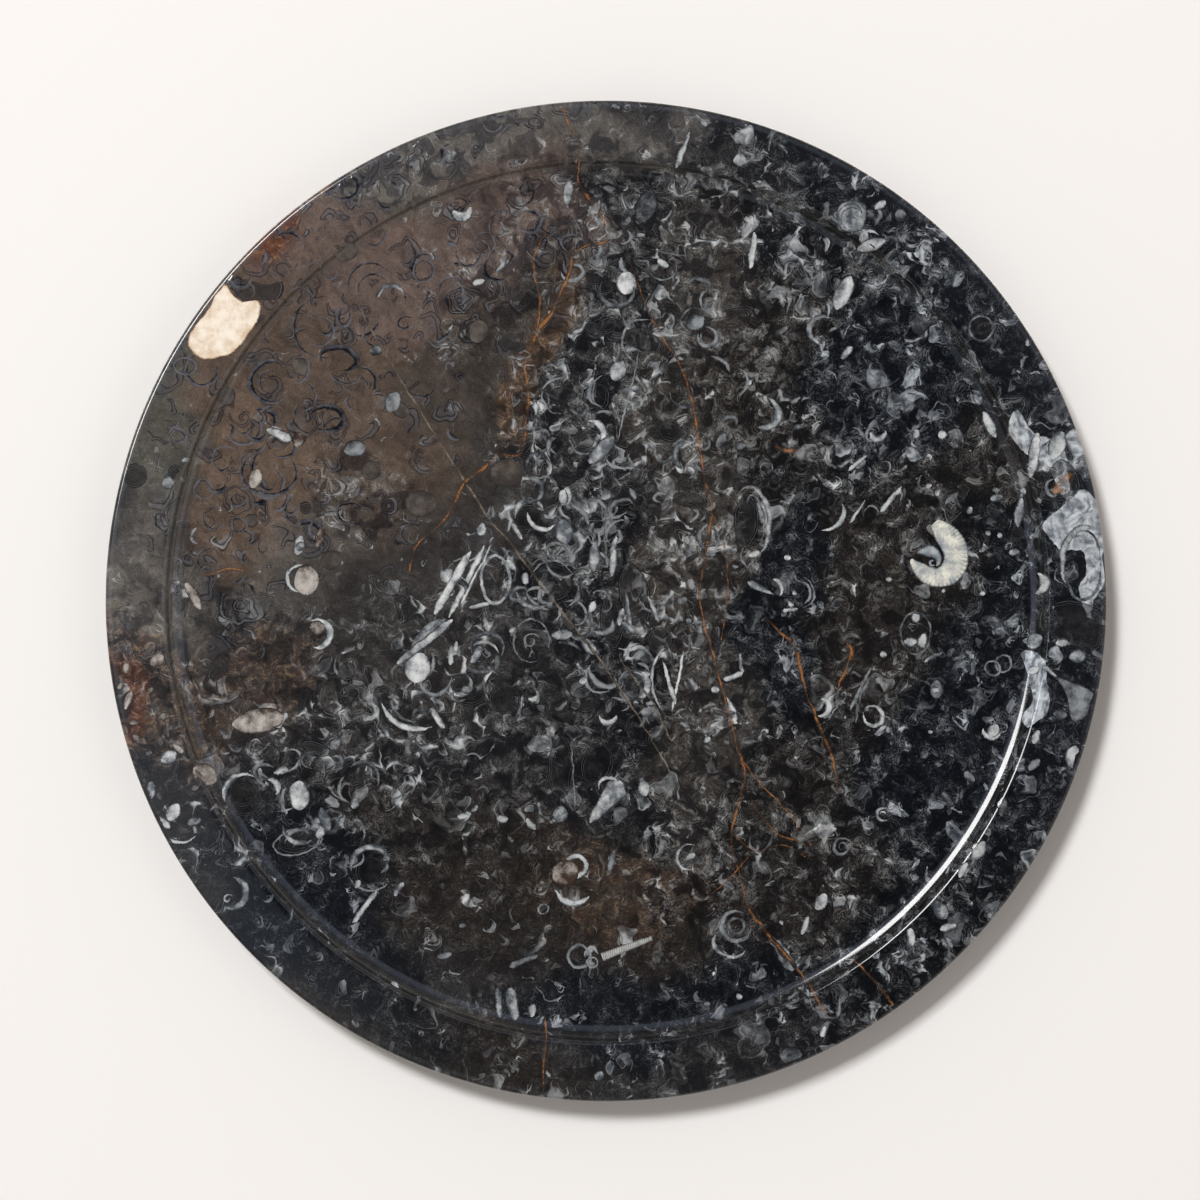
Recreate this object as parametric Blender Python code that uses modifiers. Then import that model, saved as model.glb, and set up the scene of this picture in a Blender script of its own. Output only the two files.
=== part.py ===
"""A round plate turned and polished from one slab of dark fossil limestone.

It has a flat rim, a shallow well with a swept foot, a rounded outer edge and a flat base.
Metres, +Z up. The origin is the middle of the base.
"""

import math

import bmesh
import bpy

# Driving dimensions
DIAMETER = 0.350
THICKNESS = 0.016
LIP_INSET = 0.0195        # from the outer edge to where the rim starts to round into the well
TOP_ARRIS = 0.0014        # radius of the rounded top edge
UNDER_ARRIS = 0.0060      # radius of the rounded bottom edge
TURNING_STEPS = 96

# The wall of the well, from the rim down to the floor: a small lip, a short straight stretch,
# then three arcs of growing radius that sweep out into the floor
WALL_SLOPE = 60.0         # steepest slope of the wall, in degrees
LIP_RADIUS = 0.0020
WALL_LENGTH = 0.0009
FOOT_ARCS = (
    (0.0040, 60.0, 22.0),
    (0.0110, 22.0, 6.0),
    (0.0670, 6.0, 0.0),
)

STONE_COLOUR = (0.020, 0.019, 0.018, 1.0)
STONE_ROUGHNESS = 0.12


def clear_scene():
    for obj in list(bpy.data.objects):
        bpy.data.objects.remove(obj, do_unlink=True)


def lip_points(start, segments=5):
    """The rim's inner edge rounding over, from level down to the wall's slope."""
    x, z = start
    points = []
    for i in range(1, segments + 1):
        slope = math.radians(WALL_SLOPE * i / segments)
        points.append((x - LIP_RADIUS * math.sin(slope), z - LIP_RADIUS * (1.0 - math.cos(slope))))
    return points


def foot_points(start, radius, steep, shallow, segments):
    """One concave arc of the foot, from its steep end to its shallow end."""
    x, z = start
    first = math.radians(steep)
    points = []
    for i in range(1, segments + 1):
        slope = math.radians(steep + (shallow - steep) * i / segments)
        inward = radius * (math.sin(first) - math.sin(slope))
        down = radius * (math.cos(slope) - math.cos(first))
        points.append((x - inward, z - down))
    return points


def well_profile():
    """The top of the plate, from the rim's inner edge to the middle of the well."""
    points = [(DIAMETER / 2 - LIP_INSET, THICKNESS)]
    points += lip_points(points[-1])
    x, z = points[-1]
    slope = math.radians(WALL_SLOPE)
    points.append((x - WALL_LENGTH * math.cos(slope), z - WALL_LENGTH * math.sin(slope)))
    for radius, steep, shallow in FOOT_ARCS:
        points += foot_points(points[-1], radius, steep, shallow, segments=4)
    points.append((0.0, points[-1][1]))
    return points


def edge_profile(segments=5):
    """The outside of the plate, from the rim's outer edge down to the middle of the base."""
    radius = DIAMETER / 2
    points = []
    for i in range(segments + 1):
        turn = math.radians(90.0 * i / segments)
        points.append((radius - TOP_ARRIS * (1.0 - math.sin(turn)), THICKNESS - TOP_ARRIS * (1.0 - math.cos(turn))))
    for i in range(segments + 1):
        turn = math.radians(90.0 * i / segments)
        points.append((radius - UNDER_ARRIS * (1.0 - math.cos(turn)), UNDER_ARRIS * (1.0 - math.sin(turn))))
    points.append((0.0, 0.0))
    return points


def polished_stone():
    material = bpy.data.materials.new("polished_fossil_limestone")
    material.use_nodes = True
    shader = material.node_tree.nodes["Principled BSDF"]
    shader.inputs["Base Color"].default_value = STONE_COLOUR
    shader.inputs["Roughness"].default_value = STONE_ROUGHNESS
    shader.inputs["Metallic"].default_value = 0.0
    return material


def turned(name, profile, material, collection):
    """A closed solid of revolution about Z, from a profile that runs from the axis and back to it."""
    mesh = bpy.data.meshes.new(name)
    outline = bmesh.new()
    corners = [outline.verts.new((x, 0.0, z)) for x, z in profile]
    for upper, lower in zip(corners, corners[1:]):
        outline.edges.new((upper, lower))
    outline.to_mesh(mesh)
    outline.free()
    mesh.materials.append(material)

    obj = bpy.data.objects.new(name, mesh)
    collection.objects.link(obj)
    screw = obj.modifiers.new("turning", "SCREW")
    screw.axis = "Z"
    screw.angle = 2.0 * math.pi
    screw.steps = TURNING_STEPS
    screw.render_steps = TURNING_STEPS
    screw.use_smooth_shade = True
    screw.use_merge_vertices = True
    screw.merge_threshold = 0.00001
    return obj


def main():
    clear_scene()
    collection = bpy.data.collections.new("fossil_ammonite_plate")
    bpy.context.scene.collection.children.link(collection)
    profile = list(reversed(well_profile())) + edge_profile()
    turned("plate", profile, polished_stone(), collection)


main()
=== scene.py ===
"""A polished plate of dark fossil limestone, lying on a pale floor, seen from straight above."""

import math
from types import SimpleNamespace

import bpy
import numpy as np
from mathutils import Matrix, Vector


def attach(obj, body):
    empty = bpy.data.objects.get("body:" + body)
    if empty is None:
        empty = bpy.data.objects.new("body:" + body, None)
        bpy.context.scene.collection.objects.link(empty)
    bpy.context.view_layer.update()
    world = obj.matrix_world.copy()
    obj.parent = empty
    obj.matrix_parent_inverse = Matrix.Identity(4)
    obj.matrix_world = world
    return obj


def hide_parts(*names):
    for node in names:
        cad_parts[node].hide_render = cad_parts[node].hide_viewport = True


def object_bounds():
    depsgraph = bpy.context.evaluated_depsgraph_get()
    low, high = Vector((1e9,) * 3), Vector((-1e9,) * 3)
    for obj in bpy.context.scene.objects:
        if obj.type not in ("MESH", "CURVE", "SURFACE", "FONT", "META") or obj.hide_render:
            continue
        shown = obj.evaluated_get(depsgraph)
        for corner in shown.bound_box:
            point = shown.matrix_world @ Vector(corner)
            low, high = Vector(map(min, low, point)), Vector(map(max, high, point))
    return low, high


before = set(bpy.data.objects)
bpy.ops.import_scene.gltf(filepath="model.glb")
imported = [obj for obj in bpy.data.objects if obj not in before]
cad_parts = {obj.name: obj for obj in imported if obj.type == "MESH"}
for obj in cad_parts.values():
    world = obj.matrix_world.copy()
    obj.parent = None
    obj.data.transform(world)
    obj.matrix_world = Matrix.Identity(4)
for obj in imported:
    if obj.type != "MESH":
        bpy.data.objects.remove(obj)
CAD_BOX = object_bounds()

# Everything is in metres. The plate lies on z = 0 with its turning axis on the origin.
MM = 0.001
PLATE_RADIUS = CAD_BOX[1].x
PLATE_THICKNESS = CAD_BOX[1].z

# The turned section, the same as the solid's
LIP_INSET = 19.5 * MM
TOP_ARRIS = 1.4 * MM
UNDER_ARRIS = 6.0 * MM
WALL_SLOPE = 60.0
LIP_RADIUS = 2.0 * MM
WALL_LENGTH = 0.9 * MM
FOOT_ARCS = ((4.0 * MM, 60.0, 22.0), (11.0 * MM, 22.0, 6.0), (67.0 * MM, 6.0, 0.0))
ARC_STEPS = 8
FLOOR_RINGS = 96
RIM_RINGS = 13
SIDE_RINGS = 6
BASE_RINGS = 22
TURNING_STEPS = 480
TURNED_MERGE = 0.01 * MM
SHARP_ANGLE = 40.0

# The polish
POLISH_ROUGHNESS = 0.09
VEIN_ROUGHNESS = 0.14
CALCITE_IOR = 1.52

# The photo's frame: its width in pixels, and the plate's centre and width in it
FRAME_WIDTH_PX = 1200.0
PLATE_CENTRE_PX = (606.0, 601.0)
PLATE_WIDTH_PX = 1002.0
PIXEL = PLATE_RADIUS * 2.0 / PLATE_WIDTH_PX
WALL_SPAN_PX = (424.0, 446.0)

# Stone colours, as they show under the studio light, from 0 to 255
TINTS = {
    "dark grey": (43, 42, 43),
    "charcoal": (53, 51, 50),
    "mud brown": (81, 71, 64),
    "pink brown": (90, 79, 74),
    "sand brown": (89, 77, 68),
    "ochre brown": (68, 59, 51),
    "red brown": (84, 58, 46),
    "warm grey": (60, 56, 53),
    "rim grey": (92, 88, 84),
    "green grey": (76, 74, 69),
    "warm black": (40, 37, 35),
    "blue black": (19, 21, 25),
    "navy": (22, 25, 30),
    "deep calcite": (80, 86, 93),
    "pale calcite": (194, 197, 198),
    "shell seam": (20, 21, 24),
    "curl": (70, 70, 75),
    "curl seam": (28, 29, 34),
    "grain rim": (16, 17, 20),
    "onion skin": (104, 107, 110),
    "rust film": (92, 64, 46),
    "red rust": (88, 50, 38),
    "tan rust": (150, 122, 94),
}

# Zones of ground colour: a tint, its place in the photo, its half width and half height there, a turn
# and a strength
GROUND = (
    ("blue black", (900, 620), (300, 460), 0, 0.9),
    ("warm grey", (690, 430), (60, 230), -4, 0.9),
    ("warm grey", (720, 700), (50, 170), -10, 0.7),
    ("warm black", (780, 380), (70, 90), -30, 0.9),
    ("warm black", (870, 600), (100, 130), 25, 0.9),
    ("warm black", (800, 850), (70, 130), -25, 0.8),
    ("warm black", (960, 470), (70, 40), 0, 0.8),
    ("navy", (900, 370), (90, 90), -40, 1.0),
    ("navy", (800, 560), (36, 60), 0, 0.9),
    ("navy", (770, 665), (40, 60), 0, 0.9),
    ("navy", (970, 740), (90, 120), -30, 1.0),
    ("navy", (1040, 600), (36, 120), 0, 0.7),
    ("blue black", (850, 170), (140, 50), -38, 0.8),
    ("warm black", (430, 860), (150, 80), -10, 0.9),
    ("warm black", (610, 920), (130, 80), 0, 0.9),
    ("ochre brown", (610, 890), (60, 40), 10, 0.35),
    ("navy", (640, 1010), (170, 40), 8, 0.8),
    ("warm black", (420, 1040), (160, 50), -25, 0.9),
    ("navy", (290, 880), (90, 80), -40, 0.9),
    ("navy", (350, 960), (120, 50), -35, 0.7),
    ("charcoal", (370, 600), (160, 130), 35, 1.0),
    ("charcoal", (430, 490), (90, 80), 0, 1.0),
    ("mud brown", (320, 350), (160, 190), -25, 1.0),
    ("sand brown", (240, 470), (60, 100), 10, 0.9),
    ("pink brown", (390, 260), (120, 70), 20, 1.0),
    ("pink brown", (520, 210), (80, 60), 0, 0.9),
    ("warm grey", (460, 370), (60, 60), 0, 0.7),
    ("rim grey", (300, 560), (50, 60), 0, 0.4),
    ("ochre brown", (535, 360), (26, 90), -12, 1.0),
    ("rim grey", (430, 150), (150, 40), 22, 0.9),
    ("rim grey", (590, 130), (90, 34), 0, 0.7),
    ("red brown", (300, 212), (64, 28), 42, 1.0),
    ("green grey", (160, 420), (36, 110), -18, 0.9),
    ("rim grey", (140, 570), (34, 80), 0, 1.0),
    ("rim grey", (185, 600), (40, 60), 0, 0.6),
    ("warm grey", (215, 690), (90, 50), 20, 0.9),
    ("warm grey", (140, 700), (30, 60), 0, 0.9),
    ("red brown", (124, 714), (13, 42), 22, 0.8),
)

# How much of each kind of thing grew or settled where: a place, half widths, a turn and the amount there
GROWTH = {
    "hash": (
        ((700, 600), (520, 520), 0, 0.55),
        ((660, 420), (130, 250), 0, 0.85),
        ((880, 400), (120, 120), -30, 0.75),
        ((330, 350), (190, 200), -25, 0.06),
        ((380, 540), (140, 120), -20, 0.04),
        ((480, 290), (60, 60), 0, 0.5),
        ((345, 500), (46, 40), 30, 0.75),
        ((230, 640), (110, 70), 0, 0.4),
        ((140, 560), (36, 60), 0, 0.35),
        ((145, 700), (40, 80), 0, 0.6),
        ((840, 215), (120, 60), -25, 0.85),
        ((450, 640), (80, 70), 0, 0.4),
        ((430, 150), (150, 40), 22, 0.45),
        ((530, 930), (190, 100), 0, 0.3),
        ((900, 900), (150, 90), -40, 0.75),
        ((690, 860), (60, 60), 0, 0.9),
    ),
    "cement": (
        ((500, 560), (250, 54), 52, 0.85),
        ((620, 480), (90, 240), 5, 0.7),
        ((350, 760), (170, 60), 20, 0.7),
        ((230, 830), (90, 60), 30, 0.6),
        ((770, 240), (140, 70), -20, 0.65),
        ((1060, 480), (40, 90), 0, 0.8),
    ),
    "curls": (
        ((330, 350), (190, 210), -25, 1.0),
        ((240, 500), (100, 150), 10, 1.0),
        ((400, 160), (170, 60), 22, 0.9),
        ((500, 220), (100, 70), 0, 0.8),
    ),
    "rust": (
        ((135, 690), (34, 70), 0, 0.8),
        ((300, 215), (70, 34), 42, 0.9),
        ((220, 690), (100, 60), 20, 0.5),
        ((535, 380), (24, 90), -12, 0.6),
        ((610, 890), (90, 50), 10, 0.3),
    ),
    "calcite": (
        ((1072, 510), (36, 26), 10, 1.0),
        ((1040, 452), (12, 34), 20, 0.9),
        ((1097, 562), (10, 44), 0, 0.9),
        ((1026, 685), (13, 36), 12, 1.0),
    ),
}

# The fossils that stand out, by the tone of their filling, in the photo's pixels. Angles are in degrees,
# 0 to the right and 90 up.
# ovals: x, y, length, width, turn
# arcs: x, y, radius, width, start, sweep and, for an oval arc, its squash and turn. A sweep of 360 closes
# a ring, and more winds a coil
# bars: x and y of one end and of the other, and the width at each end
# bands: points of a middle line, each with a width
# patches: the points of an outline
FOSSILS = {
    "dark_grains": {
        "ovals": (
            (585, 438, 26, 20, 20), (527, 517, 36, 28, 10), (624, 495, 36, 24, 15), (651, 511, 32, 30, 0),
            (552, 583, 54, 40, 10), (531, 641, 36, 46, 90), (635, 596, 74, 32, 100), (612, 622, 62, 24, 95),
            (634, 686, 28, 26, 0), (561, 768, 72, 28, 88), (597, 765, 52, 34, 70), (244, 799, 44, 40, 0),
            (297, 842, 48, 24, 15), (316, 749, 36, 15, -20), (289, 823, 10, 9, 0), (352, 775, 34, 26, 20),
            (370, 872, 38, 34, 90), (606, 325, 28, 18, 20), (592, 326, 16, 14, 0), (511, 344, 22, 30, 80),
            (135, 476, 32, 26, 0), (1019, 533, 20, 20, 0), (1021, 656, 18, 18, 0), (981, 328, 34, 32, 0),
            (917, 634, 30, 38, 90), (346, 672, 24, 20, 0), (176, 474, 24, 20, 30), (304, 508, 16, 14, 0),
            (670, 430, 30, 24, 0), (690, 500, 26, 36, 80), (747, 520, 60, 26, 88), (596, 398, 40, 28, 70),
            (644, 340, 34, 44, 70), (560, 395, 28, 34, 90), (382, 698, 28, 24, 0), (242, 792, 38, 34, 0),
            (470, 690, 44, 36, 10), (505, 700, 40, 34, 60), (585, 700, 34, 28, 0), (660, 640, 34, 26, 50),
            (600, 560, 26, 50, 90), (700, 640, 30, 44, 80),
        ),
        "patches": (
            (
                (1046, 606), (1072, 600), (1100, 610), (1105, 628), (1098, 650), (1078, 644), (1056, 640),
                (1040, 626),
            ),
            (
                (229, 282), (246, 280), (264, 284), (283, 282), (281, 297), (262, 300), (244, 301),
                (236, 294),
            ),
            ((1038, 497), (1046, 476), (1058, 459), (1073, 466), (1081, 486), (1071, 499), (1054, 502)),
        ),
    },
    "mud_grains": {
        "ovals": (
            (420, 503, 40, 28, 0), (507, 472, 44, 30, 10), (370, 470, 26, 20, 40), (300, 366, 24, 18, -30),
            (345, 250, 30, 20, 20), (478, 330, 30, 22, 70), (250, 520, 20, 15, 0), (400, 410, 22, 16, -20),
            (225, 395, 26, 18, 60), (330, 560, 28, 20, 10),
        ),
    },
    "dark_outlines": {
        "arcs": (
            (320, 326, 27, 3, 60, 250, 1.15), (318, 330, 14, 3, 200, 300), (423, 269, 10, 3, 0, 360),
            (404, 323, 9, 4, 20, 420), (390, 298, 15, 4, -20, 210), (262, 547, 8, 3, 0, 520),
            (270, 381, 21, 6, 40, 270), (270, 381, 12, 3, 60, 240), (242, 427, 17, 5, 200, 200),
            (242, 424, 9, 3, 190, 200), (268, 472, 28, 5, 110, 300, 0.8), (202, 489, 9, 3, 0, 360),
            (213, 518, 11, 3, 60, 300), (237, 525, 7, 3, 0, 360), (369, 284, 22, 3, 30, 170),
            (372, 288, 15, 3, 20, 190), (374, 332, 12, 3, 100, 220), (484, 242, 10, 3, 0, 360),
            (468, 253, 12, 4, 150, 240), (353, 211, 10, 3, 0, 420), (185, 366, 11, 3, 0, 360, 0.7),
            (440, 330, 16, 3, 200, 170), (452, 290, 14, 3, 20, 180), (345, 365, 18, 3, 190, 150),
            (335, 430, 13, 3, 0, 240), (300, 395, 15, 3, 250, 200), (225, 460, 14, 3, 30, 220),
            (300, 510, 16, 3, 100, 200), (250, 590, 13, 3, 0, 420), (208, 560, 12, 3, 40, 260),
            (420, 380, 16, 3, 150, 200), (395, 180, 13, 3, 0, 420), (430, 150, 16, 3, 30, 190),
            (520, 190, 14, 3, 200, 220), (545, 225, 11, 3, 20, 260), (505, 225, 16, 3, 100, 160),
            (330, 270, 12, 3, 100, 420), (372, 232, 12, 3, 210, 200), (300, 300, 13, 3, 330, 190),
            (180, 440, 10, 3, 0, 300),
        ),
    },
    "grey_calcite": {
        "ovals": (
            (646, 205, 40, 22, 70), (444, 957, 16, 9, 5), (791, 1055, 28, 18, 0), (612, 862, 24, 9, 75),
            (938, 690, 22, 15, 80), (1060, 714, 18, 14, 0), (900, 215, 16, 14, 0), (594, 554, 20, 10, 85),
            (462, 927, 10, 7, 0), (696, 321, 24, 18, 30), (921, 323, 24, 22, 0), (497, 662, 16, 8, 80),
            (466, 690, 12, 9, 0), (722, 440, 20, 12, 60), (740, 445, 16, 10, 0), (683, 600, 12, 9, 20),
            (1034, 765, 18, 10, 40), (1003, 807, 22, 11, 80), (948, 799, 18, 9, -50),
            (971, 778, 16, 10, -40), (392, 401, 26, 18, 70), (354, 448, 28, 18, 10), (375, 349, 16, 12, 0),
            (168, 483, 16, 14, 0),
        ),
        "arcs": (
            (750, 523, 20, 6, -60, 180, 1.8), (750, 523, 15, 3, -50, 150, 1.9), (799, 593, 16, 3, -75, 150),
            (799, 593, 12, 4, -70, 140), (603, 392, 14, 4, 100, 170), (610, 392, 18, 3, 110, 140),
            (552, 583, 27, 3, 30, 130), (552, 583, 22, 3, 20, 150), (552, 583, 27, 4, 195, 70),
            (579, 958, 11, 4, 0, 360), (592, 964, 5, 2.5, 0, 360), (843, 849, 11, 5, 0, 650),
            (737, 927, 15, 6, 60, 300), (737, 927, 8, 4, 0, 360), (1083, 565, 19, 4, 0, 360, 1.85),
            (917, 633, 15, 3, 0, 360, 1.4), (634, 686, 15, 3, 0, 360), (531, 641, 18, 3, -30, 330, 1.2),
            (531, 641, 9, 3, 0, 520), (981, 328, 12, 3, 0, 360), (851, 219, 7, 3, 0, 600),
            (297, 842, 25, 2.5, 0, 360, 0.5, 15), (370, 868, 24, 3, 200, 120), (994, 669, 7, 3, 0, 360),
            (1005, 664, 8, 3, 0, 360), (352, 775, 18, 3, -30, 120), (585, 438, 15, 3, 150, 200),
            (644, 340, 22, 3, 60, 200), (696, 321, 14, 3, 40, 260), (663, 265, 14, 3, 190, 200),
            (713, 300, 12, 3, 30, 250), (560, 395, 18, 3, 30, 260),
        ),
        "bars": (
            (509, 968, 538, 956, 8, 6), (874, 664, 851, 711, 2, 6), (866, 675, 856, 724, 2, 4),
            (770, 936, 794, 972, 7, 14), (640, 350, 618, 440, 2, 3), (600, 475, 607, 560, 2, 3),
            (571, 742, 575, 812, 2, 2), (648, 248, 703, 257, 2, 2),
        ),
        "patches": (
            (
                (1057, 677), (1076, 683), (1094, 693), (1091, 704), (1088, 715), (1073, 722), (1068, 704),
                (1064, 690),
            ),
        ),
    },
    "white_calcite": {
        "ovals": (
            (563, 497, 20, 11, 85), (755, 554, 13, 8, 20), (614, 546, 24, 7, 80), (525, 578, 14, 9, 80),
            (593, 607, 14, 9, 70), (621, 617, 20, 7, 75), (628, 628, 19, 7, -40), (450, 659, 14, 6, 85),
            (455, 646, 11, 6, 80), (798, 426, 9, 6, 0), (917, 433, 12, 10, 80), (943, 434, 11, 10, 0),
            (861, 463, 16, 11, 40), (930, 486, 8, 7, 0), (998, 498, 15, 9, 10), (971, 510, 9, 7, 60),
            (1002, 535, 7, 6, 0), (989, 533, 7, 6, 0), (1021, 512, 32, 10, 80), (1025, 491, 9, 8, 0),
            (1057, 445, 34, 18, 70), (1016, 552, 13, 8, 0), (1036, 641, 22, 16, 30),
            (1078, 656, 22, 15, 20), (1062, 643, 15, 9, 0), (1074, 757, 28, 19, 85), (1036, 737, 17, 9, 70),
            (917, 617, 14, 11, 80), (912, 642, 17, 11, 10), (924, 640, 17, 11, 80), (885, 655, 9, 8, 0),
            (984, 594, 8, 7, 0), (890, 580, 9, 8, 0), (903, 559, 11, 7, 80), (945, 591, 5, 4, 0),
            (858, 753, 6, 5, 0), (163, 822, 22, 9, -40), (194, 822, 16, 9, 20), (324, 820, 28, 13, -70),
            (319, 834, 15, 10, 80), (341, 822, 16, 9, 70), (357, 885, 12, 9, 60), (398, 890, 18, 7, 60),
            (466, 817, 14, 9, 30), (385, 733, 15, 7, -60), (334, 744, 17, 12, 40), (354, 804, 15, 10, 60),
            (283, 770, 9, 7, 0), (502, 820, 15, 9, 0), (531, 825, 16, 8, -50), (560, 815, 22, 17, 75),
            (532, 1012, 16, 10, 80), (714, 975, 5, 5, 0), (740, 998, 9, 8, 0), (707, 1006, 9, 5, 10),
            (599, 1076, 14, 11, 50), (822, 903, 22, 14, 60), (806, 927, 22, 7, 70), (941, 911, 24, 15, -65),
            (948, 927, 18, 8, 20), (950, 943, 14, 7, -60), (995, 731, 18, 13, 60), (568, 191, 26, 11, 80),
            (848, 351, 20, 9, 50), (740, 160, 18, 14, 0), (880, 205, 16, 9, 30), (872, 244, 32, 13, 15),
            (618, 370, 26, 19, 60), (635, 388, 12, 9, 0), (776, 417, 10, 8, 0), (299, 546, 13, 9, 20),
            (317, 536, 14, 8, 30), (277, 430, 17, 6, -35), (462, 817, 12, 8, 0), (474, 809, 11, 7, 60),
            (690, 858, 14, 8, 30), (937, 690, 9, 7, 0), (932, 732, 5, 4, 0), (716, 690, 10, 8, 0),
            (689, 621, 9, 7, 0), (663, 262, 15, 9, -30), (478, 281, 16, 8, 20), (502, 263, 22, 6, 60),
            (927, 247, 16, 10, -40), (1030, 341, 14, 8, 60), (979, 851, 26, 14, 60), (963, 870, 20, 9, 60),
            (185, 460, 8, 7, 0), (785, 953, 30, 10, -55), (823, 1032, 15, 8, 75), (512, 630, 9, 5, 30),
            (674, 559, 8, 6, 0), (707, 740, 11, 7, 30),
        ),
        "arcs": (
            (530, 515, 15, 7, 20, 170), (690, 455, 15, 7, 90, 150), (608, 714, 9, 7, 190, 160),
            (484, 657, 15, 4, 10, 150), (458, 687, 9, 4, 120, 170), (825, 510, 20, 6, -95, 115),
            (879, 430, 8, 7, 190, 165), (1036, 583, 10, 10, -80, 150), (994, 729, 9, 7, 180, 150),
            (874, 716, 10, 5, -200, 330), (822, 708, 8, 8, -110, 200), (268, 789, 9, 9, -40, 140),
            (245, 799, 23, 6, 100, 90), (370, 868, 20, 8, 20, 170), (231, 893, 15, 9, -110, 190),
            (228, 899, 5, 4, 0, 420), (394, 772, 9, 5, 20, 150), (609, 789, 11, 4, -10, 200),
            (299, 578, 13, 4, 0, 330), (576, 867, 10, 5, 0, 360), (574, 884, 20, 8, 200, 120),
            (885, 815, 7, 4, 30, 290), (884, 815, 3, 2.5, 0, 200), (543, 910, 5, 2.5, 0, 360),
            (301, 824, 20, 6, 190, 110), (199, 535, 9, 6, 120, 130), (735, 947, 12, 4, 180, 160),
            (728, 942, 14, 6, 150, 120), (690, 858, 13, 4, 60, 240), (824, 329, 14, 7, 60, 210),
            (391, 297, 13, 5, 10, 170), (180, 818, 24, 4, 200, 110), (773, 589, 10, 5, -40, 130),
            (1086, 565, 24, 8, 60, 150, 1.6), (851, 218, 12, 5, 20, 250), (870, 240, 10, 4, 30, 160),
        ),
        "bars": (
            (468, 609, 491, 602, 5, 4), (583, 638, 599, 656, 8, 8), (648, 596, 659, 622, 3, 6),
            (724, 681, 743, 673, 5, 7), (743, 673, 740, 653, 5, 3), (748, 582, 774, 594, 10, 3),
            (724, 697, 736, 712, 5, 6), (882, 511, 903, 486, 7, 4), (851, 523, 866, 499, 4, 3),
            (925, 662, 943, 653, 4, 5), (783, 611, 799, 609, 4, 4), (352, 924, 376, 892, 6, 6),
            (497, 990, 500, 1020, 9, 6), (509, 990, 515, 1022, 13, 12), (910, 928, 912, 946, 9, 8),
            (850, 470, 868, 455, 4, 4), (1040, 668, 1031, 673, 9, 11), (1057, 677, 1044, 667, 3, 6),
            (274, 728, 286, 714, 9, 7), (676, 166, 690, 132, 8, 4),
        ),
        "patches": (
            ((838, 206), (852, 201), (866, 206), (864, 228), (850, 232), (837, 226)),
            ((412, 640), (430, 622), (446, 618), (440, 630), (424, 648), (408, 662)),
        ),
    },
    "bright_calcite": {
        "ovals": (
            (417, 668, 38, 28, 80), (437, 719, 28, 9, -56), (564, 531, 30, 19, 95), (566, 496, 24, 13, 85),
            (601, 450, 42, 16, 48), (298, 796, 36, 22, 95), (583, 681, 11, 10, 0), (788, 557, 10, 7, 0),
            (644, 789, 21, 14, 90), (991, 424, 32, 11, -65), (1034, 455, 50, 13, 82),
            (627, 282, 30, 22, 80), (844, 292, 42, 18, 65), (562, 635, 24, 12, 5), (680, 467, 15, 9, 110),
            (753, 249, 40, 9, 82), (481, 529, 16, 12, 60), (594, 558, 32, 13, 85), (613, 563, 30, 9, 85),
            (589, 647, 24, 13, -50), (169, 757, 22, 14, 30), (150, 792, 26, 13, 75), (173, 812, 24, 15, 60),
            (298, 545, 24, 13, 75), (476, 655, 22, 10, 60),
        ),
        "arcs": (
            (764, 412, 15, 10, -110, 180), (638, 664, 16, 6, 30, 130), (634, 685, 14, 9, -70, 130),
            (315, 634, 14, 9, -100, 210), (461, 206, 9, 12, 195, 165), (588, 436, 16, 8, -40, 130),
            (750, 523, 20, 6, -60, 150, 1.8), (536, 588, 20, 7, 190, 110), (544, 512, 17, 6, 180, 130),
            (418, 690, 40, 7, 200, 90), (676, 680, 24, 4, 120, 120, 1.5), (495, 579, 14, 4, 0, 360, 1.7),
            (243, 797, 22, 5, 60, 120),
        ),
        "bars": (
            (470, 551, 434, 614, 10, 10), (484, 546, 448, 618, 5, 7), (491, 545, 461, 604, 3, 4),
            (622, 783, 590, 823, 26, 9), (396, 664, 452, 620, 9, 9), (511, 523, 522, 539, 8, 4),
            (626, 592, 630, 630, 4, 6), (266, 428, 289, 440, 8, 12), (663, 660, 676, 705, 3, 6),
            (684, 652, 672, 712, 3, 4),
        ),
    },
    "brown_calcite": {
        "ovals": (
            (204, 775, 32, 22, -40), (316, 628, 20, 16, 0), (305, 580, 34, 32, 0), (257, 721, 60, 26, 8),
            (192, 596, 34, 12, -60), (319, 537, 24, 11, 70), (565, 874, 36, 26, 30), (254, 478, 24, 15, 70),
            (298, 439, 20, 14, 60), (128, 700, 22, 9, 70), (157, 660, 20, 14, 30), (140, 740, 18, 10, -30),
            (126, 668, 12, 7, 80), (164, 716, 14, 9, 10), (150, 690, 10, 6, 50), (178, 748, 16, 9, -40),
            (134, 722, 10, 7, 0), (120, 686, 9, 6, 60),
        ),
    },
    "ammonite_shell": {
        "bands": (
            (
                (936, 522, 12), (945, 532, 23), (953.5, 542.5, 26), (957.5, 553.5, 25.5), (956, 565.5, 25),
                (949, 574, 23.5), (939, 577.5, 20), (929, 575, 19), (921, 569, 15), (915, 563.5, 9),
                (912.5, 559, 3),
            ),
        ),
    },
    "ammonite_core": {
        "bands": (
            (
                (918.5, 552.5, 2), (924, 551, 8), (930.7, 551, 13), (936.5, 553.5, 11), (939.8, 558.5, 7.5),
                (939.6, 563, 5), (937.5, 566, 2),
            ),
            ((934.5, 559.8, 2), (931, 562, 3.4), (932.5, 565.6, 3), (935.6, 565.4, 1.6)),
        ),
    },
    "ribbed_shell": {
        "bands": (
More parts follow.
